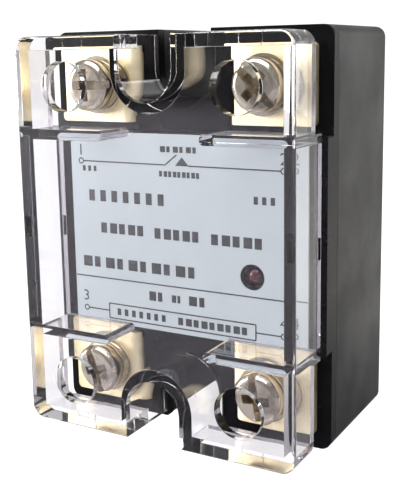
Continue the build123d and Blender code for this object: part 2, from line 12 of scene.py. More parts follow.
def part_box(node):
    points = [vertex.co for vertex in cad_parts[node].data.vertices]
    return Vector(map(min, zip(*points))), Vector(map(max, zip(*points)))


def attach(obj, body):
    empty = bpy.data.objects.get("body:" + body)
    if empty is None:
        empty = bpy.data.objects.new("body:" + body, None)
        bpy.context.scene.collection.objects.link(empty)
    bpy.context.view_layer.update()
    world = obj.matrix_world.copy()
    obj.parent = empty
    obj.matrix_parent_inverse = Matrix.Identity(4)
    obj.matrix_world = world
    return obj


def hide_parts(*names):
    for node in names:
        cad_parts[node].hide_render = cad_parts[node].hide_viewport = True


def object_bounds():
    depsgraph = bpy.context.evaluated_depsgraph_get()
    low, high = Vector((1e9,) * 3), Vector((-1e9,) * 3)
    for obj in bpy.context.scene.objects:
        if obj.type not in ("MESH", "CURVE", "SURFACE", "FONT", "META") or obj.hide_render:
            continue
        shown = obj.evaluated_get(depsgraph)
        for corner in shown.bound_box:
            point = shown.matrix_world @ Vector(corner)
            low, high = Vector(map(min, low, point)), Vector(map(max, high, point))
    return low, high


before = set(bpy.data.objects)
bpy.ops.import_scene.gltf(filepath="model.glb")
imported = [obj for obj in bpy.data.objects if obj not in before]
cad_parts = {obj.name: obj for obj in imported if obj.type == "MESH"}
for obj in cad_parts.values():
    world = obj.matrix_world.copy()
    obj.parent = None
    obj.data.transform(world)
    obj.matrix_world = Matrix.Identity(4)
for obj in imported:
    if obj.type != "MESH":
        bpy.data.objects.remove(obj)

CAD_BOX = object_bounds()
MM = 0.001
LOG = logging.getLogger("relay")
NUMBERS = (1, 2, 3, 4)
FACE_FRONT = (math.pi / 2, 0.0, 0.0)  # turns a flat mark to the front


class Slot(str, Enum):
    """The record's material slots, listed with the new pieces; their finishes come from the Finish given.
    """

    CASE = "case_plastic"
    COVER = "clear_cover"
    LABEL = "label_print"
    PLATED = "plated_metal"
    SCREW = "screw_metal"
    NUT = "zinc_steel"
    BASE = "base_metal"
    LAMP = "lamp_red"


# ---- node helpers --------------------------------------------------------------------------
def linear(code: str) -> tuple[float, float, float, float]:
    """Turns an sRGB hex colour into the linear values that a shader takes.

    Args:
        code: six hex digits.

    Returns:
        Red, green, blue and an alpha of 1.
    """
    parts = [int(code[i:i + 2], 16) / 255 for i in (0, 2, 4)]
    red, green, blue = (v / 12.92 if v <= 0.04045 else ((v + 0.055) / 1.055) ** 2.4 for v in parts)
    return red, green, blue, 1.0


def add_node(tree: bpy.types.NodeTree, kind: str, settings: Optional[dict[Any, Any]] = None,
             links: Optional[dict[Any, Any]] = None) -> bpy.types.Node:
    """Adds one shader node with its settings and links.

    Args:
        tree: the tree that the node goes into.
        kind: the node's type.
        settings: values for its properties, and for its inputs by name or number.
        links: the output that feeds each of its inputs, by name or number.

    Returns:
        The new node.
    """
    node = tree.nodes.new(kind)
    for key, value in (settings or {}).items():
        if isinstance(key, int) or key in node.inputs:
            node.inputs[key].default_value = value
        else:
            setattr(node, key, value)
    for key, source in (links or {}).items():
        tree.links.new(source, node.inputs[key])
    return node


def per_metre(size_mm: float) -> float:
    """The pattern scale that repeats about every size_mm."""
    return 1 / (size_mm * MM)


# ---- finishes ------------------------------------------------------------------------------
@dataclass(frozen=True)
class Finish:
    """What every finish has: the name of the real material."""

    name: str

    def start(self, settings: dict[Any, Any]) -> tuple[bpy.types.Material, Any, Any, Any]:
        """Makes the material with its shader, output and object coordinates.

        Args:
            settings: values for the shader's own inputs.

        Returns:
            The material, its tree, its shader and the coordinates.
        """
        material = bpy.data.materials.new(self.name)
        material.use_nodes = True
        tree = material.node_tree
        tree.nodes.clear()
        shader = add_node(tree, "ShaderNodeBsdfPrincipled", settings)
        add_node(tree, "ShaderNodeOutputMaterial", links={"Surface": shader.outputs[0]})
        where = add_node(tree, "ShaderNodeTexCoord").outputs["Object"]
        return material, tree, shader, where

    def material(self) -> bpy.types.Material:
        """Makes the finished material; each finish has its own way."""
        raise NotImplementedError


@dataclass(frozen=True)
class MouldedPlastic(Finish):
    """Filled engineering plastic from a spark-eroded mould: a fine matt grain and faint rub marks."""

    colour: str = "0B0A0A"
    rubbed: str = "3C3834"
    smooth: float = 0.36
    dull: float = 0.5
    grain_mm: float = 0.35  # real grain is about 0.05 mm; drawn coarser so that it shows
    grain_depth_mm: float = 0.012
    handled_mm: float = 11.0  # size of the patches that handling has polished
    ior: float = 1.5
    sheen_level: float = 0.3  # the filler breaks the skin, so it mirrors less than its IOR gives

    def material(self) -> bpy.types.Material:
        """Makes the plastic.

        Returns:
            The material.
        """
        material, tree, shader, where = self.start({"IOR": self.ior,
                                                    "Specular IOR Level": self.sheen_level})
        grain = add_node(tree, "ShaderNodeTexNoise", {"Scale": per_metre(self.grain_mm), "Detail": 5.0},
                         {"Vector": where})
        broad = add_node(tree, "ShaderNodeTexNoise", {"Scale": per_metre(self.handled_mm), "Detail": 3.0},
                         {"Vector": where})
        gloss = add_node(tree, "ShaderNodeMapRange",
                         {"From Min": 0.35, "From Max": 0.65, "To Min": self.smooth, "To Max": self.dull},
                         {"Value": broad.outputs["Fac"]})
        specks = add_node(tree, "ShaderNodeMapRange",
                          {"From Min": 0.56, "From Max": 0.8, "To Min": 0.0, "To Max": 0.5},
                          {"Value": grain.outputs["Fac"]})
        tone = add_node(tree, "ShaderNodeMix", {"data_type": "RGBA", 6: linear(self.colour),
                        7: linear(self.rubbed)}, {0: specks.outputs[0]})
        bump = add_node(tree, "ShaderNodeBump", {"Strength": 0.5, "Distance": self.grain_depth_mm * MM},
                        {"Height": grain.outputs["Fac"]})
        tree.links.new(tone.outputs[2], shader.inputs["Base Color"])
        tree.links.new(gloss.outputs[0], shader.inputs["Roughness"])
        tree.links.new(bump.outputs[0], shader.inputs["Normal"])
        return material


@dataclass(frozen=True)
class ClearPlastic(Finish):
    """Clear polycarbonate from a polished mould: almost colourless, with hair scratches from handling."""

    tint: str = "F8F7F9"
    ior: float = 1.585
    roughness: float = 0.02
    scratch_mm: float = 5.0  # size of the loops that the scratches make
    scratch_depth_mm: float = 0.004
    scratch_level: float = 0.62  # the noise value that a loop follows
    scratch_width: float = 0.006
    patch_mm: float = 7.0  # size of the areas with and without scratches

    def material(self) -> bpy.types.Material:
        """Makes the clear plastic, which lets the lamps through.

        Returns:
            The material.
        """
        material, tree, shader, where = self.start(
            {"Base Color": linear(self.tint), "IOR": self.ior, "Roughness": self.roughness,
             "Transmission Weight": 1.0})
        loops = add_node(tree, "ShaderNodeTexNoise", {"Scale": per_metre(self.scratch_mm), "Detail": 1.0},
                         {"Vector": where})
        level = add_node(tree, "ShaderNodeMath", {"operation": "SUBTRACT", 1: self.scratch_level},
                         {0: loops.outputs["Fac"]})
        near = add_node(tree, "ShaderNodeMath", {"operation": "ABSOLUTE"}, {0: level.outputs[0]})
        line = add_node(tree, "ShaderNodeMapRange",
                        {"From Min": 0.0, "From Max": self.scratch_width, "To Min": 1.0, "To Max": 0.0},
                        {"Value": near.outputs[0]})
        patches = add_node(tree, "ShaderNodeTexNoise", {"Scale": per_metre(self.patch_mm), "Detail": 2.0},
                           {"Vector": where})
        kept = add_node(tree, "ShaderNodeMapRange", {"From Min": 0.58, "From Max": 0.66},
                        {"Value": patches.outputs["Fac"]})
        height = add_node(tree, "ShaderNodeMath", {"operation": "MULTIPLY"},
                          {0: kept.outputs[0], 1: line.outputs[0]})
        bump = add_node(tree, "ShaderNodeBump", {"Strength": 0.5, "Distance": self.scratch_depth_mm * MM},
                        {"Height": height.outputs[0]})
        tree.links.new(bump.outputs[0], shader.inputs["Normal"])
        lamp_ray = add_node(tree, "ShaderNodeLightPath").outputs["Is Shadow Ray"]
        through = add_node(tree, "ShaderNodeBsdfTransparent", {"Color": linear(self.tint)})
        both = add_node(tree, "ShaderNodeMixShader", links={0: lamp_ray, 1: shader.outputs[0],
                                                            2: through.outputs[0]})
        output = next(n for n in tree.nodes if n.bl_idname == "ShaderNodeOutputMaterial")
        tree.links.new(both.outputs[0], output.inputs["Surface"])
        return material


@dataclass(frozen=True)
class PlatedMetal(Finish):
    """Plated or bare metal: rolling lines or tumbling marks, faint stains where it was handled and, where a
    depth is given, painted shade that darkens it behind that depth.
    """

    colour: str = "DDD2B4"
    # colour of the stains; where a depth is given, also the colour of the painted shade
    stain_and_shade_colour: str = "A89674"
    bright: float = 0.16
    dull: float = 0.34
    line_mm: tuple[float, float, float] = (0.25, 0.25, 0.25)  # size of the marks along each axis
    depth_mm: float = 0.004
    stain_mm: float = 3.5
    shaded_from_m: Optional[float] = None  # behind this depth the colour is darkened: painted shade in the recesses and down the sides
    shade_fade_mm: float = 1.6

    def material(self) -> bpy.types.Material:
        """Makes the metal.

        Returns:
            The material.
        """
        material, tree, shader, where = self.start({"Metallic": 1.0})
        stretch = add_node(tree, "ShaderNodeMapping",
                           {"Scale": [per_metre(size) for size in self.line_mm]}, {"Vector": where})
        marks = add_node(tree, "ShaderNodeTexNoise", {"Scale": 1.0, "Detail": 4.0},
                         {"Vector": stretch.outputs[0]})
        cloud = add_node(tree, "ShaderNodeTexNoise", {"Scale": per_metre(self.stain_mm), "Detail": 4.0},
                         {"Vector": where})
        stain_and_shade_mask = add_node(tree, "ShaderNodeMapRange",
                           {"From Min": 0.48, "From Max": 0.75, "To Min": 0.0, "To Max": 0.75},
                           {"Value": cloud.outputs["Fac"]})
        # painted shade: the colour darkens behind the given depth, standing in for the shade in recesses
        if self.shaded_from_m is not None:
            depth = add_node(tree, "ShaderNodeSeparateXYZ", links={0: where})
            painted_shade = add_node(tree, "ShaderNodeMapRange",
                            {"From Min": self.shaded_from_m, "To Max": 0.8,
                             "From Max": self.shaded_from_m + self.shade_fade_mm * MM},
                            {"Value": depth.outputs["Y"]})
            stain_and_shade_mask = add_node(tree, "ShaderNodeMath", {"operation": "MAXIMUM"},
                               {0: stain_and_shade_mask.outputs[0], 1: painted_shade.outputs[0]})
        tone = add_node(tree, "ShaderNodeMix", {"data_type": "RGBA", 6: linear(self.colour),
                        7: linear(self.stain_and_shade_colour)}, {0: stain_and_shade_mask.outputs[0]})
        gloss = add_node(tree, "ShaderNodeMapRange",
                         {"From Min": 0.25, "From Max": 0.75, "To Min": self.bright, "To Max": self.dull},
                         {"Value": marks.outputs["Fac"]})
        bump = add_node(tree, "ShaderNodeBump", {"Strength": 0.5, "Distance": self.depth_mm * MM},
                        {"Height": marks.outputs["Fac"]})
        tree.links.new(tone.outputs[2], shader.inputs["Base Color"])
        tree.links.new(gloss.outputs[0], shader.inputs["Roughness"])
        tree.links.new(bump.outputs[0], shader.inputs["Normal"])
        return material


@dataclass(frozen=True)
class PrintedFilm(Finish):
    """Satin polyester film: pale, with a faint orange-peel surface under a clear lacquer."""

    colour: str = "C0CACC"
    shade: str = "B2BCBF"
    roughness: float = 0.34
    cloud_mm: float = 6.0
    peel_mm: float = 0.4
    peel_depth_mm: float = 0.004

    def material(self) -> bpy.types.Material:
        """Makes the film.

        Returns:
            The material.
        """
        material, tree, shader, where = self.start({"IOR": 1.5, "Roughness": self.roughness,
                                                    "Coat Weight": 0.25, "Coat Roughness": 0.2})
        cloud = add_node(tree, "ShaderNodeTexNoise", {"Scale": per_metre(self.cloud_mm), "Detail": 4.0},
                         {"Vector": where})
        tone = add_node(tree, "ShaderNodeMix", {"data_type": "RGBA", 6: linear(self.colour),
                        7: linear(self.shade)}, {0: cloud.outputs["Fac"]})
        peel = add_node(tree, "ShaderNodeTexNoise", {"Scale": per_metre(self.peel_mm), "Detail": 2.0},
                        {"Vector": where})
        bump = add_node(tree, "ShaderNodeBump", {"Strength": 0.25, "Distance": self.peel_depth_mm * MM},
                        {"Height": peel.outputs["Fac"]})
        tree.links.new(tone.outputs[2], shader.inputs["Base Color"])
        tree.links.new(bump.outputs[0], shader.inputs["Normal"])
        return material


@dataclass(frozen=True)
class ScreenInk(Finish):
    """Screen-printed ink: nearly black, a little thin in places."""

    colour: str = "0E1012"
    thin: str = "1E2326"
    speckle_mm: float = 0.3

    def material(self) -> bpy.types.Material:
        """Makes the ink.

        Returns:
            The material.
        """
        material, tree, shader, where = self.start({"IOR": 1.5, "Specular IOR Level": 0.3})
        cover = add_node(tree, "ShaderNodeTexNoise", {"Scale": per_metre(self.speckle_mm), "Detail": 3.0},
                         {"Vector": where})
        tone = add_node(tree, "ShaderNodeMix", {"data_type": "RGBA", 6: linear(self.colour),
                        7: linear(self.thin)}, {0: cover.outputs["Fac"]})
        gloss = add_node(tree, "ShaderNodeMapRange", {"To Min": 0.45, "To Max": 0.6},
                         {"Value": cover.outputs["Fac"]})
        tree.links.new(tone.outputs[2], shader.inputs["Base Color"])
        tree.links.new(gloss.outputs[0], shader.inputs["Roughness"])
        return material


@dataclass(frozen=True)
class LampEpoxy(Finish):
    """Red-dyed epoxy of a lamp that is off: deep wine red, lighter where light gathers at the rim."""

    heart: str = "24060A"
    rim: str = "3E0B10"
    cloud_mm: float = 1.2

    def material(self) -> bpy.types.Material:
        """Makes the epoxy.

        Returns:
            The material.
        """
        material, tree, shader, where = self.start({"IOR": 1.55, "Roughness": 0.12, "Coat Weight": 0.5,
                                                    "Coat Roughness": 0.05})
        edge = add_node(tree, "ShaderNodeLayerWeight", {"Blend": 0.35})
        cloud = add_node(tree, "ShaderNodeTexNoise", {"Scale": per_metre(self.cloud_mm), "Detail": 2.0},
                         {"Vector": where})
        mixed = add_node(tree, "ShaderNodeMath", {"operation": "MULTIPLY"},
                         {0: edge.outputs["Facing"], 1: cloud.outputs["Fac"]})
        tone = add_node(tree, "ShaderNodeMix", {"data_type": "RGBA", 6: linear(self.rim),
                        7: linear(self.heart)}, {0: mixed.outputs[0]})
        tree.links.new(tone.outputs[2], shader.inputs["Base Color"])
        return material


@dataclass(frozen=True)
class BoardLaminate(Finish):
    """Glass-filled board under green solder resist, with the weave just showing through."""

    colour: str = "1E5A34"
    weave: str = "2E7444"
    thread_mm: float = 0.5
    weave_depth_mm: float = 0.02

    def material(self) -> bpy.types.Material:
        """Makes the laminate.

        Returns:
            The material.
        """
        material, tree, shader, where = self.start({"IOR": 1.5, "Roughness": 0.4})
        scale = per_metre(self.thread_mm) / 6
        across, along = (add_node(tree, "ShaderNodeTexWave", {"wave_type": "BANDS", "bands_direction": way,
                                                              "Scale": scale}, {"Vector": where})
                         for way in ("X", "Z"))
        cloth = add_node(tree, "ShaderNodeMath", {"operation": "MULTIPLY"},
                         {0: across.outputs["Fac"], 1: along.outputs["Fac"]})
        tone = add_node(tree, "ShaderNodeMix", {"data_type": "RGBA", 6: linear(self.colour),
                        7: linear(self.weave)}, {0: cloth.outputs[0]})
        bump = add_node(tree, "ShaderNodeBump", {"Strength": 0.3, "Distance": self.weave_depth_mm * MM},
                        {"Height": cloth.outputs[0]})
        tree.links.new(tone.outputs[2], shader.inputs["Base Color"])
        tree.links.new(bump.outputs[0], shader.inputs["Normal"])
        return material


# ---- mesh work -----------------------------------------------------------------------------
class Bench:
    """Where one mesh at a time is worked on, as by hand."""

    @staticmethod
    def clear() -> None:
        """Leaves edit mode and selects nothing."""
        if bpy.context.object and bpy.context.object.mode != "OBJECT":
            bpy.ops.object.mode_set(mode="OBJECT")
        bpy.ops.object.select_all(action="DESELECT")

    @staticmethod
    def take(piece: bpy.types.Object) -> None:
        """Makes a piece the only one selected, and active.

        Args:
            piece: the piece.
        """
        Bench.clear()
        bpy.context.view_layer.objects.active = piece
        piece.select_set(True)

    @staticmethod
    def blank(name: str) -> bpy.types.Object:
        """Starts an empty mesh piece at the origin and opens it in edit mode.

        Args:
            name: name of the piece.

        Returns:
            The piece, open.
        """
        piece = bpy.data.objects.new(name, bpy.data.meshes.new(name))
        bpy.context.scene.collection.objects.link(piece)
        Bench.take(piece)
        bpy.ops.object.mode_set(mode="EDIT")
        return piece

    @staticmethod
    def worked_copy(node: str, name: str, edge_mm: float, sharp_deg: float = 35.0) -> bpy.types.Object:
        """Copies a CAD node's mesh, merges it and rounds its sharp edges by a small radius.

        Args:
            node: the CAD node that the copy stands for.
            name: name of the piece.
            edge_mm: radius at the edges.
            sharp_deg: edges that turn by more than this are rounded.

        Returns:
            The finished piece, at the origin.
        """
        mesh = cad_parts[node].data.copy()
        mesh.name = name
        piece = bpy.data.objects.new(name, mesh)
        bpy.context.scene.collection.objects.link(piece)
        Bench.take(piece)
        bpy.ops.object.mode_set(mode="EDIT")
        bpy.ops.mesh.select_all(action="SELECT")
        bpy.ops.mesh.remove_doubles(threshold=0.001 * MM)
        bpy.ops.mesh.customdata_custom_splitnormals_clear()
        bpy.ops.mesh.dissolve_limited(angle_limit=math.radians(0.5), delimit=set())
        bpy.ops.object.mode_set(mode="OBJECT")
        Bench.round_edges(piece, edge_mm, sharp_deg)
        return piece

    @staticmethod
    def round_edges(piece: bpy.types.Object, edge_mm: float, sharp_deg: float) -> None:
        """Rounds a piece's sharp edges and shades it smooth between them.

        Args:
            piece: the piece.
            edge_mm: radius at the edges.
            sharp_deg: edges that turn by more than this are rounded.
        """
        Bench.take(piece)
        bevel = piece.modifiers.new("edges", "BEVEL")
        bevel.width = edge_mm * MM
        bevel.segments = 2
        bevel.limit_method = "ANGLE"
        bevel.angle_limit = math.radians(sharp_deg)
        bpy.ops.object.modifier_apply(modifier=bevel.name)
        bpy.ops.object.shade_smooth_by_angle(angle=math.radians(40))
        level = piece.modifiers.new("flats", "WEIGHTED_NORMAL")
        level.weight = 100
        level.keep_sharp = True
        bpy.ops.object.modifier_apply(modifier=level.name)


@dataclass
class SubAssembly:
    """What every sub-assembly has: the body that it moves with."""

    body: str = "housing"

    def place(self, piece: bpy.types.Object, finish: Finish, slot: Slot, *nodes: str) -> None:
        """Gives a new piece its finish and its body, and hides the CAD nodes that it stands for.

        Args:
            piece: the new piece.
            finish: what it is made of.
            slot: the record's slot for that; not used.
            nodes: CAD nodes that it replaces.
        """
        piece.data.materials.clear()
        piece.data.materials.append(FINISHES.get(finish))
        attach(piece, self.body)
        if nodes:
            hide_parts(*nodes)
        LOG.info("%s: %d faces, rides on %s", piece.name, len(piece.data.polygons), self.body)

    def build(self) -> None:
        """Builds and dresses the sub-assembly's pieces."""
        raise NotImplementedError


class FinishShelf:
    """Makes each finish once and hands the same material out again."""

    def __init__(self) -> None:
        """Starts with an empty shelf."""
        self.made: dict[Finish, bpy.types.Material] = {}

    def get(self, finish: Finish) -> bpy.types.Material:
        """The material of a finish, made the first time that it is asked for.

        Args:
            finish: the finish.

        Returns:
            Its material.
        """
        if finish not in self.made:
            self.made[finish] = finish.material()
        return self.made[finish]


FINISHES = FinishShelf()
CASE_PBT = MouldedPlastic("black_pbt_moulded")
LID_PBT = MouldedPlastic("black_pbt_moulded_smooth", smooth=0.24, dull=0.32, sheen_level=0.1,
                         grain_depth_mm=0.004, colour="060506", rubbed="1A1919")
COVER_PC = ClearPlastic("clear_polycarbonate_moulded")
LABEL_FILM = PrintedFilm("polyester_film_satin")
LABEL_INK = ScreenInk("screen_ink_black")
LAMP_RED = LampEpoxy("red_epoxy_lamp")
STRAP_NICKEL = PlatedMetal("brass_nickel_plated_rolled", colour="D6CBAC", stain_and_shade_colour="A99C7C", bright=0.54,
                           dull=0.66, line_mm=(0.3, 0.5, 4.0), depth_mm=0.0012)
# the screws get painted shade behind 0.4 mm under the head's face: darker in the cross recess and down the
# head's sides
SCREW_NICKEL = PlatedMetal("steel_nickel_plated_tumbled", colour="EFE6D2", stain_and_shade_colour="6A5440", bright=0.12,
                           dull=0.2, depth_mm=0.0012,
                           shaded_from_m=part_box("terminal_screw_1")[0].y + 0.4 * MM)
WASHER_NICKEL = PlatedMetal("steel_nickel_plated_stamped", colour="E6DCC6", stain_and_shade_colour="97836A", bright=0.14,
                            dull=0.24, depth_mm=0.0012)
NUT_ZINC = PlatedMetal("steel_zinc_plated", colour="C9CCCE", stain_and_shade_colour="9DA1A5", bright=0.25, dull=0.4)
BASE_ALUMINIUM = PlatedMetal("aluminium_plate_brushed", colour="C4C6C8", stain_and_shade_colour="B6B8BA", bright=0.28,
                             dull=0.48, line_mm=(8.0, 8.0, 0.12), depth_mm=0.01)


# ---- housing -------------------------------------------------------------------------------
@dataclass
class Housing(SubAssembly):
    """Case, lid and base plate."""

    case_edge_mm: float = 0.22
    lid_edge_mm: float = 0.14
    plate_edge_mm: float = 0.2

    def build(self) -> None:
        """Builds the two mouldings and the plate."""
        case = Bench.worked_copy("rear_case", "case_moulding", self.case_edge_mm)
        self.place(case, CASE_PBT, Slot.CASE, "rear_case")
        lid = Bench.worked_copy("front_lid", "lid_moulding", self.lid_edge_mm)
        self.place(lid, LID_PBT, Slot.CASE, "front_lid")
        plate = Bench.worked_copy("base_plate", "heat_spreader", self.plate_edge_mm)
        self.place(plate, BASE_ALUMINIUM, Slot.BASE, "base_plate")


# ---- label ---------------------------------------------------------------------------------
@dataclass
class Label(SubAssembly):
    """Printed film on the label block. Words and ratings are drawn as rows of plain blocks."""

    film_edge_mm: float = 0.03
    ink_mm: float = 0.015  # real ink is about 0.01 mm thick
    line_mm: float = 0.2
    ring_mm: float = 0.48
    post_x_mm: float = 16.65
    switch_z_mm: float = 10.2
    input_z_mm: float = -12.65
    rule_z_mm: float = -7.6
    rule_half_mm: float = 18.4
    gap_mm: tuple[float, float] = (-1.8, 2.0)  # where the output line stops and goes on
    contact_foot_mm: tuple[float, float] = (-1.85, 0.0)  # across, and above the output line
    contact_tip_mm: tuple[float, float] = (0.1, 1.5)
    triangle_mm: float = 0.84
    triangle_x_mm: float = 0.97
    triangle_lift_mm: float = 0.37
    triangle_stretch: float = 1.55
    input_box_mm: tuple[float, float] = (12.4, 1.15)  # half its width and half its height
    numeral_mm: float = 1.75
    font_size: float = 1.35  # the font's size, for figures of height 1
    numeral_feet_mm: tuple[float, ...] = (11.1, 11.0, -11.5, -11.6)
    block_widths: tuple[float, ...] = (0.5, 0.64, 0.78)  # parts of the pitch of the letters
    block_height: float = 0.74  # part of the height of the letters

    def words(self) -> list[tuple[float, float, float, float, int]]:
        """Where each word stands, in millimetres.

        Returns:
            Left end, right end, middle height, letter height and number of blocks of each.
        """
        return [
            (-2.6, 3.8, 12.45, 1.15, 6), (-2.85, 4.0, 8.9, 1.1, 9), (-16.4, -13.4, 9.1, 1.1, 3),
            (-15.4, -1.2, 5.05, 2.3, 7), (12.2, 16.0, 6.0, 1.45, 3),
            (-13.4, -5.3, 0.2, 2.1, 5), (-3.9, 4.0, 0.1, 2.1, 5), (5.5, 14.0, 0.0, 2.1, 5),
            (-16.9, 3.7, -5.2, 2.2, 10),
            (-5.1, -2.1, -9.45, 1.9, 2), (-1.2, 0.7, -9.45, 1.5, 2), (1.7, 5.1, -9.4, 1.9, 2),
            (-10.95, -1.7, -12.65, 1.4, 7), (-0.2, 11.5, -12.7, 1.5, 9),
        ]

    def face_y(self) -> float:
        """How far forward the film's face is, in metres."""
        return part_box("label")[0].y

    def bar(self, x0: float, x1: float, z0: float, z1: float) -> None:
        """Adds a flat bar to the open print, between limits in millimetres.

        Args:
            x0: left limit.
            x1: right limit.
            z0: lower limit.
            z1: upper limit.
        """
        bpy.ops.mesh.select_all(action="DESELECT")
        bpy.ops.mesh.primitive_plane_add(size=1.0, rotation=FACE_FRONT,
                                         location=((x0 + x1) / 2 * MM, self.face_y(), (z0 + z1) / 2 * MM))
        bpy.ops.transform.resize(value=((x1 - x0) * MM, 1.0, (z1 - z0) * MM),
                                 center_override=((x0 + x1) / 2 * MM, self.face_y(), (z0 + z1) / 2 * MM))

    def slanted(self, start: tuple[float, float], end: tuple[float, float]) -> None:
        """Adds a thin slanted bar between two points in millimetres.

        Args:
            start: one end, across and up.
            end: the other end.
        """
        run, rise = end[0] - start[0], end[1] - start[1]
        length = math.hypot(run, rise)
        middle = ((start[0] + end[0]) / 2, (start[1] + end[1]) / 2)
        self.bar(middle[0] - length / 2, middle[0] + length / 2, middle[1] - self.line_mm / 2,
                 middle[1] + self.line_mm / 2)
        turn = Matrix.Translation((middle[0] * MM, 0, middle[1] * MM)) @ Matrix.Rotation(
            -math.atan2(rise, run), 4, "Y") @ Matrix.Translation((-middle[0] * MM, 0, -middle[1] * MM))
        self.turn_selected(turn)

    @staticmethod
    def turn_selected(turn: Matrix) -> None:
        """Moves the selected points of the open mesh.

        Args:
            turn: the matrix that each point is moved by.
        """
        bpy.ops.object.mode_set(mode="OBJECT")
        for point in bpy.context.object.data.vertices:
            if point.select:
                point.co = turn @ point.co
        bpy.ops.object.mode_set(mode="EDIT")

    def ring(self, x: float, z: float) -> None:
        """Adds a terminal's small ring.

        Args:
            x: its middle across, in millimetres.
            z: its middle height, in millimetres.
        """
        bpy.ops.mesh.select_all(action="DESELECT")
        bpy.ops.mesh.primitive_circle_add(vertices=28, radius=self.ring_mm * MM, fill_type="NGON",
                                          rotation=FACE_FRONT,
                                          location=(x * MM, self.face_y(), z * MM))
        bpy.ops.mesh.inset(thickness=self.line_mm * 0.9 * MM)
        bpy.ops.mesh.delete(type="FACE")

    def switch_mark(self) -> None:
        """Adds the output line with its open contact and the filled triangle under it."""
        half = self.line_mm / 2
        z, post = self.switch_z_mm, self.post_x_mm - self.ring_mm
        stop, restart = self.gap_mm
        self.bar(-post, stop, z - half, z + half)
        self.slanted(*((across, z + up) for across, up in (self.contact_foot_mm, self.contact_tip_mm)))
        bpy.ops.mesh.select_all(action="DESELECT")
        bpy.ops.mesh.primitive_circle_add(
            vertices=3, radius=self.triangle_mm * MM, fill_type="NGON", rotation=FACE_FRONT,
            location=(self.triangle_x_mm * MM, self.face_y(), (z + self.triangle_lift_mm) * MM))
        bpy.ops.transform.resize(value=(self.triangle_stretch, 1.0, 1.0),
                                 center_override=(self.triangle_x_mm * MM, 0, z * MM))
        self.bar(restart, post, z - half, z + half)

    def input_mark(self) -> None:
        """Adds the box of the input side with a line to each of its rings."""
        half = self.line_mm / 2
        z, post = self.input_z_mm, self.post_x_mm - self.ring_mm
        side, high = self.input_box_mm
        for edge in (-high, high):
            self.bar(-side, side, z + edge - half, z + edge + half)
        for end in (-1, 1):
            self.bar(end * side - half, end * side + half, z - high, z + high)
            self.bar(*sorted((end * side, end * post)), z - half, z + half)

    def blocks(self, x0: float, x1: float, z: float, height: float, count: int) -> None:
        """Adds one word as a row of plain blocks, lower than its letters so that it is no darker.

        Args:
            x0: left end of the word.
            x1: right end of the word.
            z: middle height of the word.
            height: height of its letters.
            count: how many letters it stands for.
        """
        pitch, half = (x1 - x0) / count, height * self.block_height / 2
        for i in range(count):
            left = x0 + i * pitch
            wide = pitch * self.block_widths[(i * i + count) % 4 % 3]
            self.bar(left, left + wide, z - half, z + half)

    def numeral(self, text: str, x: float, z: float) -> bpy.types.Object:
        """Makes one terminal number as a flat mesh, in place.

        Args:
            text: the number.
            x: its middle across, in millimetres.
            z: its foot, in millimetres.

        Returns:
            The number's piece.
        """
        Bench.clear()
        curve = bpy.data.curves.new("numeral_" + text, "FONT")
        curve.body = text
        curve.size = self.numeral_mm * MM * self.font_size
        curve.align_x = "CENTER"
        mark = bpy.data.objects.new("numeral_" + text, curve)
        bpy.context.scene.collection.objects.link(mark)
        Bench.take(mark)
        bpy.ops.object.convert(target="MESH")
        mark = bpy.context.object
        mark.data.transform(Matrix.Translation((x * MM, self.face_y(), z * MM))
                            @ Matrix.Rotation(math.pi / 2, 4, "X"))
        return mark

    def print_layer(self) -> bpy.types.Object:
        """Builds everything printed as one thin mesh.

        Returns:
            The print.
        """
        numerals = [self.numeral(str(number), side * self.post_x_mm, foot)
                    for number, side, foot in zip(NUMBERS, (-1, 1, -1, 1), self.numeral_feet_mm)]
        marks = Bench.blank("label_marks")
        for side in (-1, 1):
            self.ring(side * self.post_x_mm, self.switch_z_mm)
            self.ring(side * self.post_x_mm, self.input_z_mm)
        self.switch_mark()
        self.input_mark()
        self.bar(-self.rule_half_mm, self.rule_half_mm, self.rule_z_mm - self.line_mm / 2,
                 self.rule_z_mm + self.line_mm / 2)
        for word in self.words():
            self.blocks(*word)
        bpy.ops.object.mode_set(mode="OBJECT")
        Bench.take(marks)
        for numeral in numerals:
            numeral.select_set(True)
        bpy.ops.object.join()
        thick = marks.modifiers.new("ink", "SOLIDIFY")
        thick.thickness = self.ink_mm * MM
        thick.offset = 1.0
        bpy.ops.object.modifier_apply(modifier=thick.name)
        return marks

    def build(self) -> None:
        """Builds the film and its print."""
        film = Bench.worked_copy("label", "label_film", self.film_edge_mm)
        self.place(film, LABEL_FILM, Slot.LABEL, "label")
        self.place(self.print_layer(), LABEL_INK, Slot.LABEL)


# ---- lamp ----------------------------------------------------------------------------------
@dataclass
class Lamp(SubAssembly):
    """Red lamp that shows through the label."""

    edge_mm: float = 0.05

    def build(self) -> None:
        """Builds the lamp's body."""
        lens = Bench.worked_copy("status_lamp", "lamp_lens", self.edge_mm)
        self.place(lens, LAMP_RED, Slot.LAMP, "status_lamp")


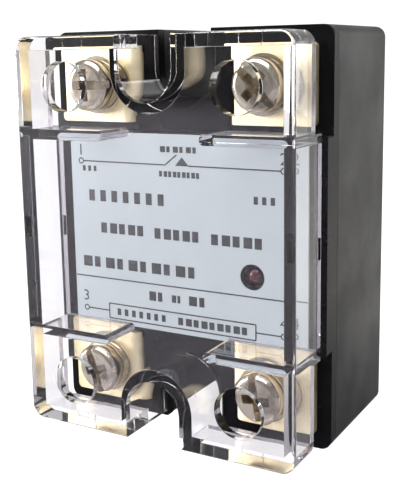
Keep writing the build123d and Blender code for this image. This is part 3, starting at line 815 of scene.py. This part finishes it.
# ---- terminals -----------------------------------------------------------------------------
@dataclass
class Terminal(SubAssembly):
    """Strap, nut, washers and screw of one terminal."""

    number: int = 1
    strap_edge_mm: float = 0.15
    nut_edge_mm: float = 0.1
    washer_edge_mm: float = 0.1
    screw_edge_mm: float = 0.07

    def build(self) -> None:
        """Builds the terminal's five pieces, each on the body that it moves with."""
        for node, name, body, edge_mm, finish, slot in (
                ("terminal_strap", "strap", "housing", self.strap_edge_mm, STRAP_NICKEL, Slot.PLATED),
                ("square_nut", "nut", "housing", self.nut_edge_mm, NUT_ZINC, Slot.NUT),
                ("flat_washer", "flat_washer_ring", f"washers_{self.number}", self.washer_edge_mm,
                 WASHER_NICKEL, Slot.SCREW),
                ("spring_washer", "spring_washer_ring", f"washers_{self.number}", self.washer_edge_mm,
                 WASHER_NICKEL, Slot.SCREW),
                ("terminal_screw", "screw", f"screw_{self.number}", self.screw_edge_mm, SCREW_NICKEL,
                 Slot.SCREW)):
            self.body = body
            piece = Bench.worked_copy(f"{node}_{self.number}", f"{name}_{self.number}", edge_mm)
            self.place(piece, finish, slot, f"{node}_{self.number}")


# ---- cover ---------------------------------------------------------------------------------
@dataclass
class Cover(SubAssembly):
    """The clear moulding over the terminals."""

    body: str = "cover"
    edge_mm: float = 0.16

    def build(self) -> None:
        """Builds the cover."""
        shell = Bench.worked_copy("cover", "clear_moulding", self.edge_mm)
        self.place(shell, COVER_PC, Slot.COVER, "cover")


# ---- inside --------------------------------------------------------------------------------
@dataclass
class Inside:
    """Everything sealed in the housing: the CAD pieces stay and get a finish."""

    def finishes(self) -> dict[str, Finish]:
        """Chooses what each sealed piece is made of.

        Returns:
            The finish of each, by the name of its CAD node.
        """
        package = MouldedPlastic("epoxy_package_moulded", colour="17181A", grain_mm=0.15)
        copper = PlatedMetal("copper_rolled", colour="C77B52", stain_and_shade_colour="8E4F32", line_mm=(0.15, 0.15, 2.0))
        tinned = PlatedMetal("copper_tinned", colour="CFCBC2", stain_and_shade_colour="A59F92")
        table: dict[str, Finish] = {
            "ceramic_substrate": MouldedPlastic("alumina_fired", colour="E6E3DA", rubbed="F4F2EC",
                                                smooth=0.5, dull=0.7, grain_mm=0.2, ior=1.76),
            "copper_pads": copper,
            "chip_clips": copper,
            "gate_wires": tinned,
            "potting_resin": MouldedPlastic("epoxy_resin_cast", colour="15130F", rubbed="2A251C",
                                            smooth=0.15, dull=0.3, grain_mm=2.0, ior=1.55),
            "control_board": BoardLaminate("glass_epoxy_board"),
            "optocoupler": MouldedPlastic("epoxy_package_white", colour="D8D6CE", rubbed="F0EEE8",
                                          grain_mm=0.15),
            "bridge_rectifier": package,
            "current_limiter": package,
            "input_resistor": MouldedPlastic("resistor_lacquer_beige", colour="C8A878", rubbed="8A5A30",
                                             smooth=0.3, dull=0.45, grain_mm=1.2),
            "snubber_resistor": MouldedPlastic("resistor_lacquer_grey", colour="7E8A92", rubbed="4C565E",
                                               smooth=0.3, dull=0.45, grain_mm=1.2),
            "gate_resistors": MouldedPlastic("resistor_lacquer_blue", colour="6FA3C0", rubbed="3F6F92",
                                             smooth=0.3, dull=0.45, grain_mm=0.8),
            "input_capacitor": MouldedPlastic("shrink_sleeve_dark_blue", colour="14213C", rubbed="D9DCE0",
                                              smooth=0.2, dull=0.32, grain_mm=1.5),
            "snubber_capacitor": MouldedPlastic("film_capacitor_case_yellow", colour="B8912C",
                                                rubbed="DDBA5A", smooth=0.35, dull=0.5, grain_mm=0.3),
            "lamp_leads": tinned,
        }
        for number in (1, 2):
            table[f"power_chip_{number}"] = PlatedMetal("silicon_polished", colour="5A6068", stain_and_shade_colour="3E4650",
                                                        bright=0.08, dull=0.16)
            table[f"output_busbar_{number}"] = copper
            table[f"input_lead_{number + 2}"] = tinned
        return table

    def build(self) -> None:
        """Gives each sealed piece its finish."""
        for node, finish in self.finishes().items():
            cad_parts[node].material_slots[0].material = FINISHES.get(finish)
            LOG.info("%s: %s", node, finish.name)


# ---- studio --------------------------------------------------------------------------------
@dataclass(frozen=True)
class SoftLamp:
    """One soft lamp, which faces the relay."""

    name: str
    place_m: tuple[float, float, float]
    size_m: tuple[float, float]
    watts: float

    def hang(self) -> None:
        """Hangs the lamp."""
        light = bpy.data.lights.new(self.name, "AREA")
        light.shape = "RECTANGLE"
        light.size, light.size_y = self.size_m
        light.energy = self.watts
        lamp = bpy.data.objects.new(self.name, light)
        bpy.context.scene.collection.objects.link(lamp)
        turn = Vector(self.place_m).to_track_quat("Z", "Y").to_matrix().to_4x4()
        lamp.matrix_world = Matrix.Translation(self.place_m) @ turn


@dataclass
class Studio:
    """Floor, lamps and camera."""

    eye_mm: tuple[float, float, float] = (64.243, -129.182, 25.704)
    yaw_deg: float = 29.784
    pitch_deg: float = 10.104
    roll_deg: float = -1.014
    sensor_mm: float = 36.0
    focal_mm: float = 63.116784
    shift_up: float = -0.08
    floor_m: float = 3.0
    backdrop_m: float = 2.0
    fibre_mm: float = 60.0
    floor_tones: tuple[str, str] = ("3A3A3A", "444444")
    floor_glow: float = 1.08  # lit from below, as a product table is
    floor_before: str = "76737A"  # what polished pieces see of the floor before and behind the relay
    floor_behind: str = "969490"
    behind_m: tuple[float, float] = (-0.04, 0.06)  # from where to where before turns into behind
    glow_behind: float = 0.45
    sky: tuple[float, float] = (0.16, 0.26)  # brightness of the surroundings before and behind

    @staticmethod
    def bounced(tree: bpy.types.NodeTree) -> bpy.types.NodeSocket:
        """Tells light that comes straight or through clear plastic from light that has bounced.

        Args:
            tree: the tree that the nodes go into.

        Returns:
            An output that is 0 for straight light and 1 for bounced light.
        """
        path = add_node(tree, "ShaderNodeLightPath")
        return add_node(tree, "ShaderNodeMath", {"operation": "ADD", "use_clamp": True},
                        {0: path.outputs["Glossy Depth"], 1: path.outputs["Diffuse Depth"]}).outputs[0]

    def floor(self) -> None:
        """Lays a pale floor that turns up into a backdrop far behind."""
        Bench.clear()
        low = CAD_BOX[0][2]
        bpy.ops.mesh.primitive_plane_add(size=self.floor_m, location=(0, 0, low))
        sheet = bpy.context.object
        sheet.name = "floor"
        bpy.ops.object.transform_apply(location=True, rotation=True, scale=True)
        bpy.ops.object.mode_set(mode="EDIT")
        bpy.ops.mesh.select_all(action="DESELECT")
        bpy.ops.object.mode_set(mode="OBJECT")
        for edge in sheet.data.edges:
            edge.select = all(sheet.data.vertices[v].co.y > 0 for v in edge.vertices)
        bpy.ops.object.mode_set(mode="EDIT")
        bpy.ops.mesh.select_mode(type="EDGE")
        bpy.ops.mesh.extrude_region_move(TRANSFORM_OT_translate={"value": (0, 0, self.backdrop_m)})
        bpy.ops.object.mode_set(mode="OBJECT")
        material = bpy.data.materials.new("paper_white")
        material.use_nodes = True
        tree = material.node_tree
        shader = tree.nodes["Principled BSDF"]
        where = add_node(tree, "ShaderNodeTexCoord").outputs["Object"]
        fibre = add_node(tree, "ShaderNodeTexNoise", {"Scale": per_metre(self.fibre_mm), "Detail": 3.0},
                         {"Vector": where})
        dark, light = self.floor_tones
        tone = add_node(tree, "ShaderNodeMix", {"data_type": "RGBA", 6: linear(dark), 7: linear(light)},
                        {0: fibre.outputs["Fac"]})
        bounced = self.bounced(tree)
        depth = add_node(tree, "ShaderNodeSeparateXYZ", links={0: where})
        start, end = self.behind_m
        behind = add_node(tree, "ShaderNodeMapRange", {"From Min": start, "From Max": end},
                          {"Value": depth.outputs["Y"]})
        mirrored = add_node(tree, "ShaderNodeMix", {"data_type": "RGBA", 6: linear(self.floor_before),
                            7: linear(self.floor_behind)}, {0: behind.outputs[0]})
        held = add_node(tree, "ShaderNodeMix", {"data_type": "RGBA"},
                        {0: bounced, 6: tone.outputs[2], 7: mirrored.outputs[2]})
        dim = add_node(tree, "ShaderNodeMath", {"operation": "MULTIPLY", 1: self.glow_behind},
                       {0: behind.outputs[0]})
        glow = add_node(tree, "ShaderNodeMix", {"data_type": "FLOAT", 2: self.floor_glow},
                        {0: bounced, 3: dim.outputs[0]})
        tree.links.new(held.outputs[2], shader.inputs["Base Color"])
        tree.links.new(glow.outputs[0], shader.inputs["Emission Strength"])
        shader.inputs["Emission Color"].default_value = linear("FFFFFF")
        shader.inputs["Roughness"].default_value = 0.9
        sheet.data.materials.append(material)

    def lamps(self) -> None:
        """Hangs the soft lamps and sets the pale surroundings."""
        SoftLamp("lamp_top", place_m=(-0.05, -0.25, 0.6), size_m=(0.6, 0.5), watts=10.0).hang()
        SoftLamp("lamp_left", place_m=(-0.74, -0.42, 0.1), size_m=(0.4, 0.5), watts=20.0).hang()
        SoftLamp("lamp_right", place_m=(0.45, 0.5, 0.12), size_m=(0.4, 0.4), watts=1.0).hang()
        world = bpy.data.worlds.new("surroundings")
        world.use_nodes = True
        tree = world.node_tree
        back = tree.nodes["Background"]
        way = add_node(tree, "ShaderNodeSeparateXYZ",
                       links={0: add_node(tree, "ShaderNodeTexCoord").outputs["Generated"]})
        before, behind = self.sky
        light = add_node(tree, "ShaderNodeMapRange",
                         {"From Min": -0.4, "From Max": 0.5, "To Min": before, "To Max": behind},
                         {"Value": way.outputs["Y"]})
        bounced = self.bounced(tree)
        strength = add_node(tree, "ShaderNodeMix", {"data_type": "FLOAT", 2: self.floor_glow},
                            {0: bounced, 3: light.outputs[0]})
        back.inputs["Color"].default_value = linear("FFFFFF")
        tree.links.new(strength.outputs[0], back.inputs["Strength"])
        bpy.context.scene.world = world

    def camera(self) -> None:
        """Sets up the camera."""
        yaw, pitch, roll = (math.radians(v) for v in (self.yaw_deg, self.pitch_deg, self.roll_deg))
        ahead = Vector((-math.sin(yaw) * math.cos(pitch), math.cos(yaw) * math.cos(pitch),
                        -math.sin(pitch)))
        level = Vector((math.cos(yaw), math.sin(yaw), 0))
        upright = level.cross(ahead)
        right = level * math.cos(roll) + upright * math.sin(roll)
        up = -level * math.sin(roll) + upright * math.cos(roll)
        data = bpy.data.cameras.new("camera")
        data.sensor_fit = "VERTICAL"
        data.sensor_width = data.sensor_height = self.sensor_mm
        data.lens = self.focal_mm
        data.shift_y = self.shift_up
        data.clip_start = 0.005
        camera = bpy.data.objects.new("camera", data)
        bpy.context.scene.collection.objects.link(camera)
        turned = Matrix((right, up, -ahead)).transposed().to_4x4()
        camera.matrix_world = Matrix.Translation([v * MM for v in self.eye_mm]) @ turned
        bpy.context.scene.camera = camera

    def rendering(self) -> None:
        """Sets how light is followed and how the picture is toned."""
        scene = bpy.context.scene
        scene.view_settings.view_transform = "Standard"
        scene.view_settings.look = "None"
        scene.view_settings.exposure = 0.0
        cycles = scene.cycles
        cycles.max_bounces = 16
        cycles.transmission_bounces = 14
        cycles.transparent_max_bounces = 16
        cycles.glossy_bounces = 6
        cycles.caustics_reflective = False
        cycles.caustics_refractive = False
        cycles.use_denoising = True
        cycles.sample_clamp_indirect = 4.0

    def build(self) -> None:
        """Sets the studio up."""
        self.floor()
        self.lamps()
        self.camera()
        self.rendering()


def main() -> None:
    """Builds the relay's pieces and the studio."""
    logging.basicConfig(level=logging.INFO, format="%(message)s")
    Housing().build()
    Label().build()
    Lamp().build()
    for number in NUMBERS:
        Terminal(number=number).build()
    Cover().build()
    Inside().build()
    Studio().build()


if __name__ == "__main__":
    main()
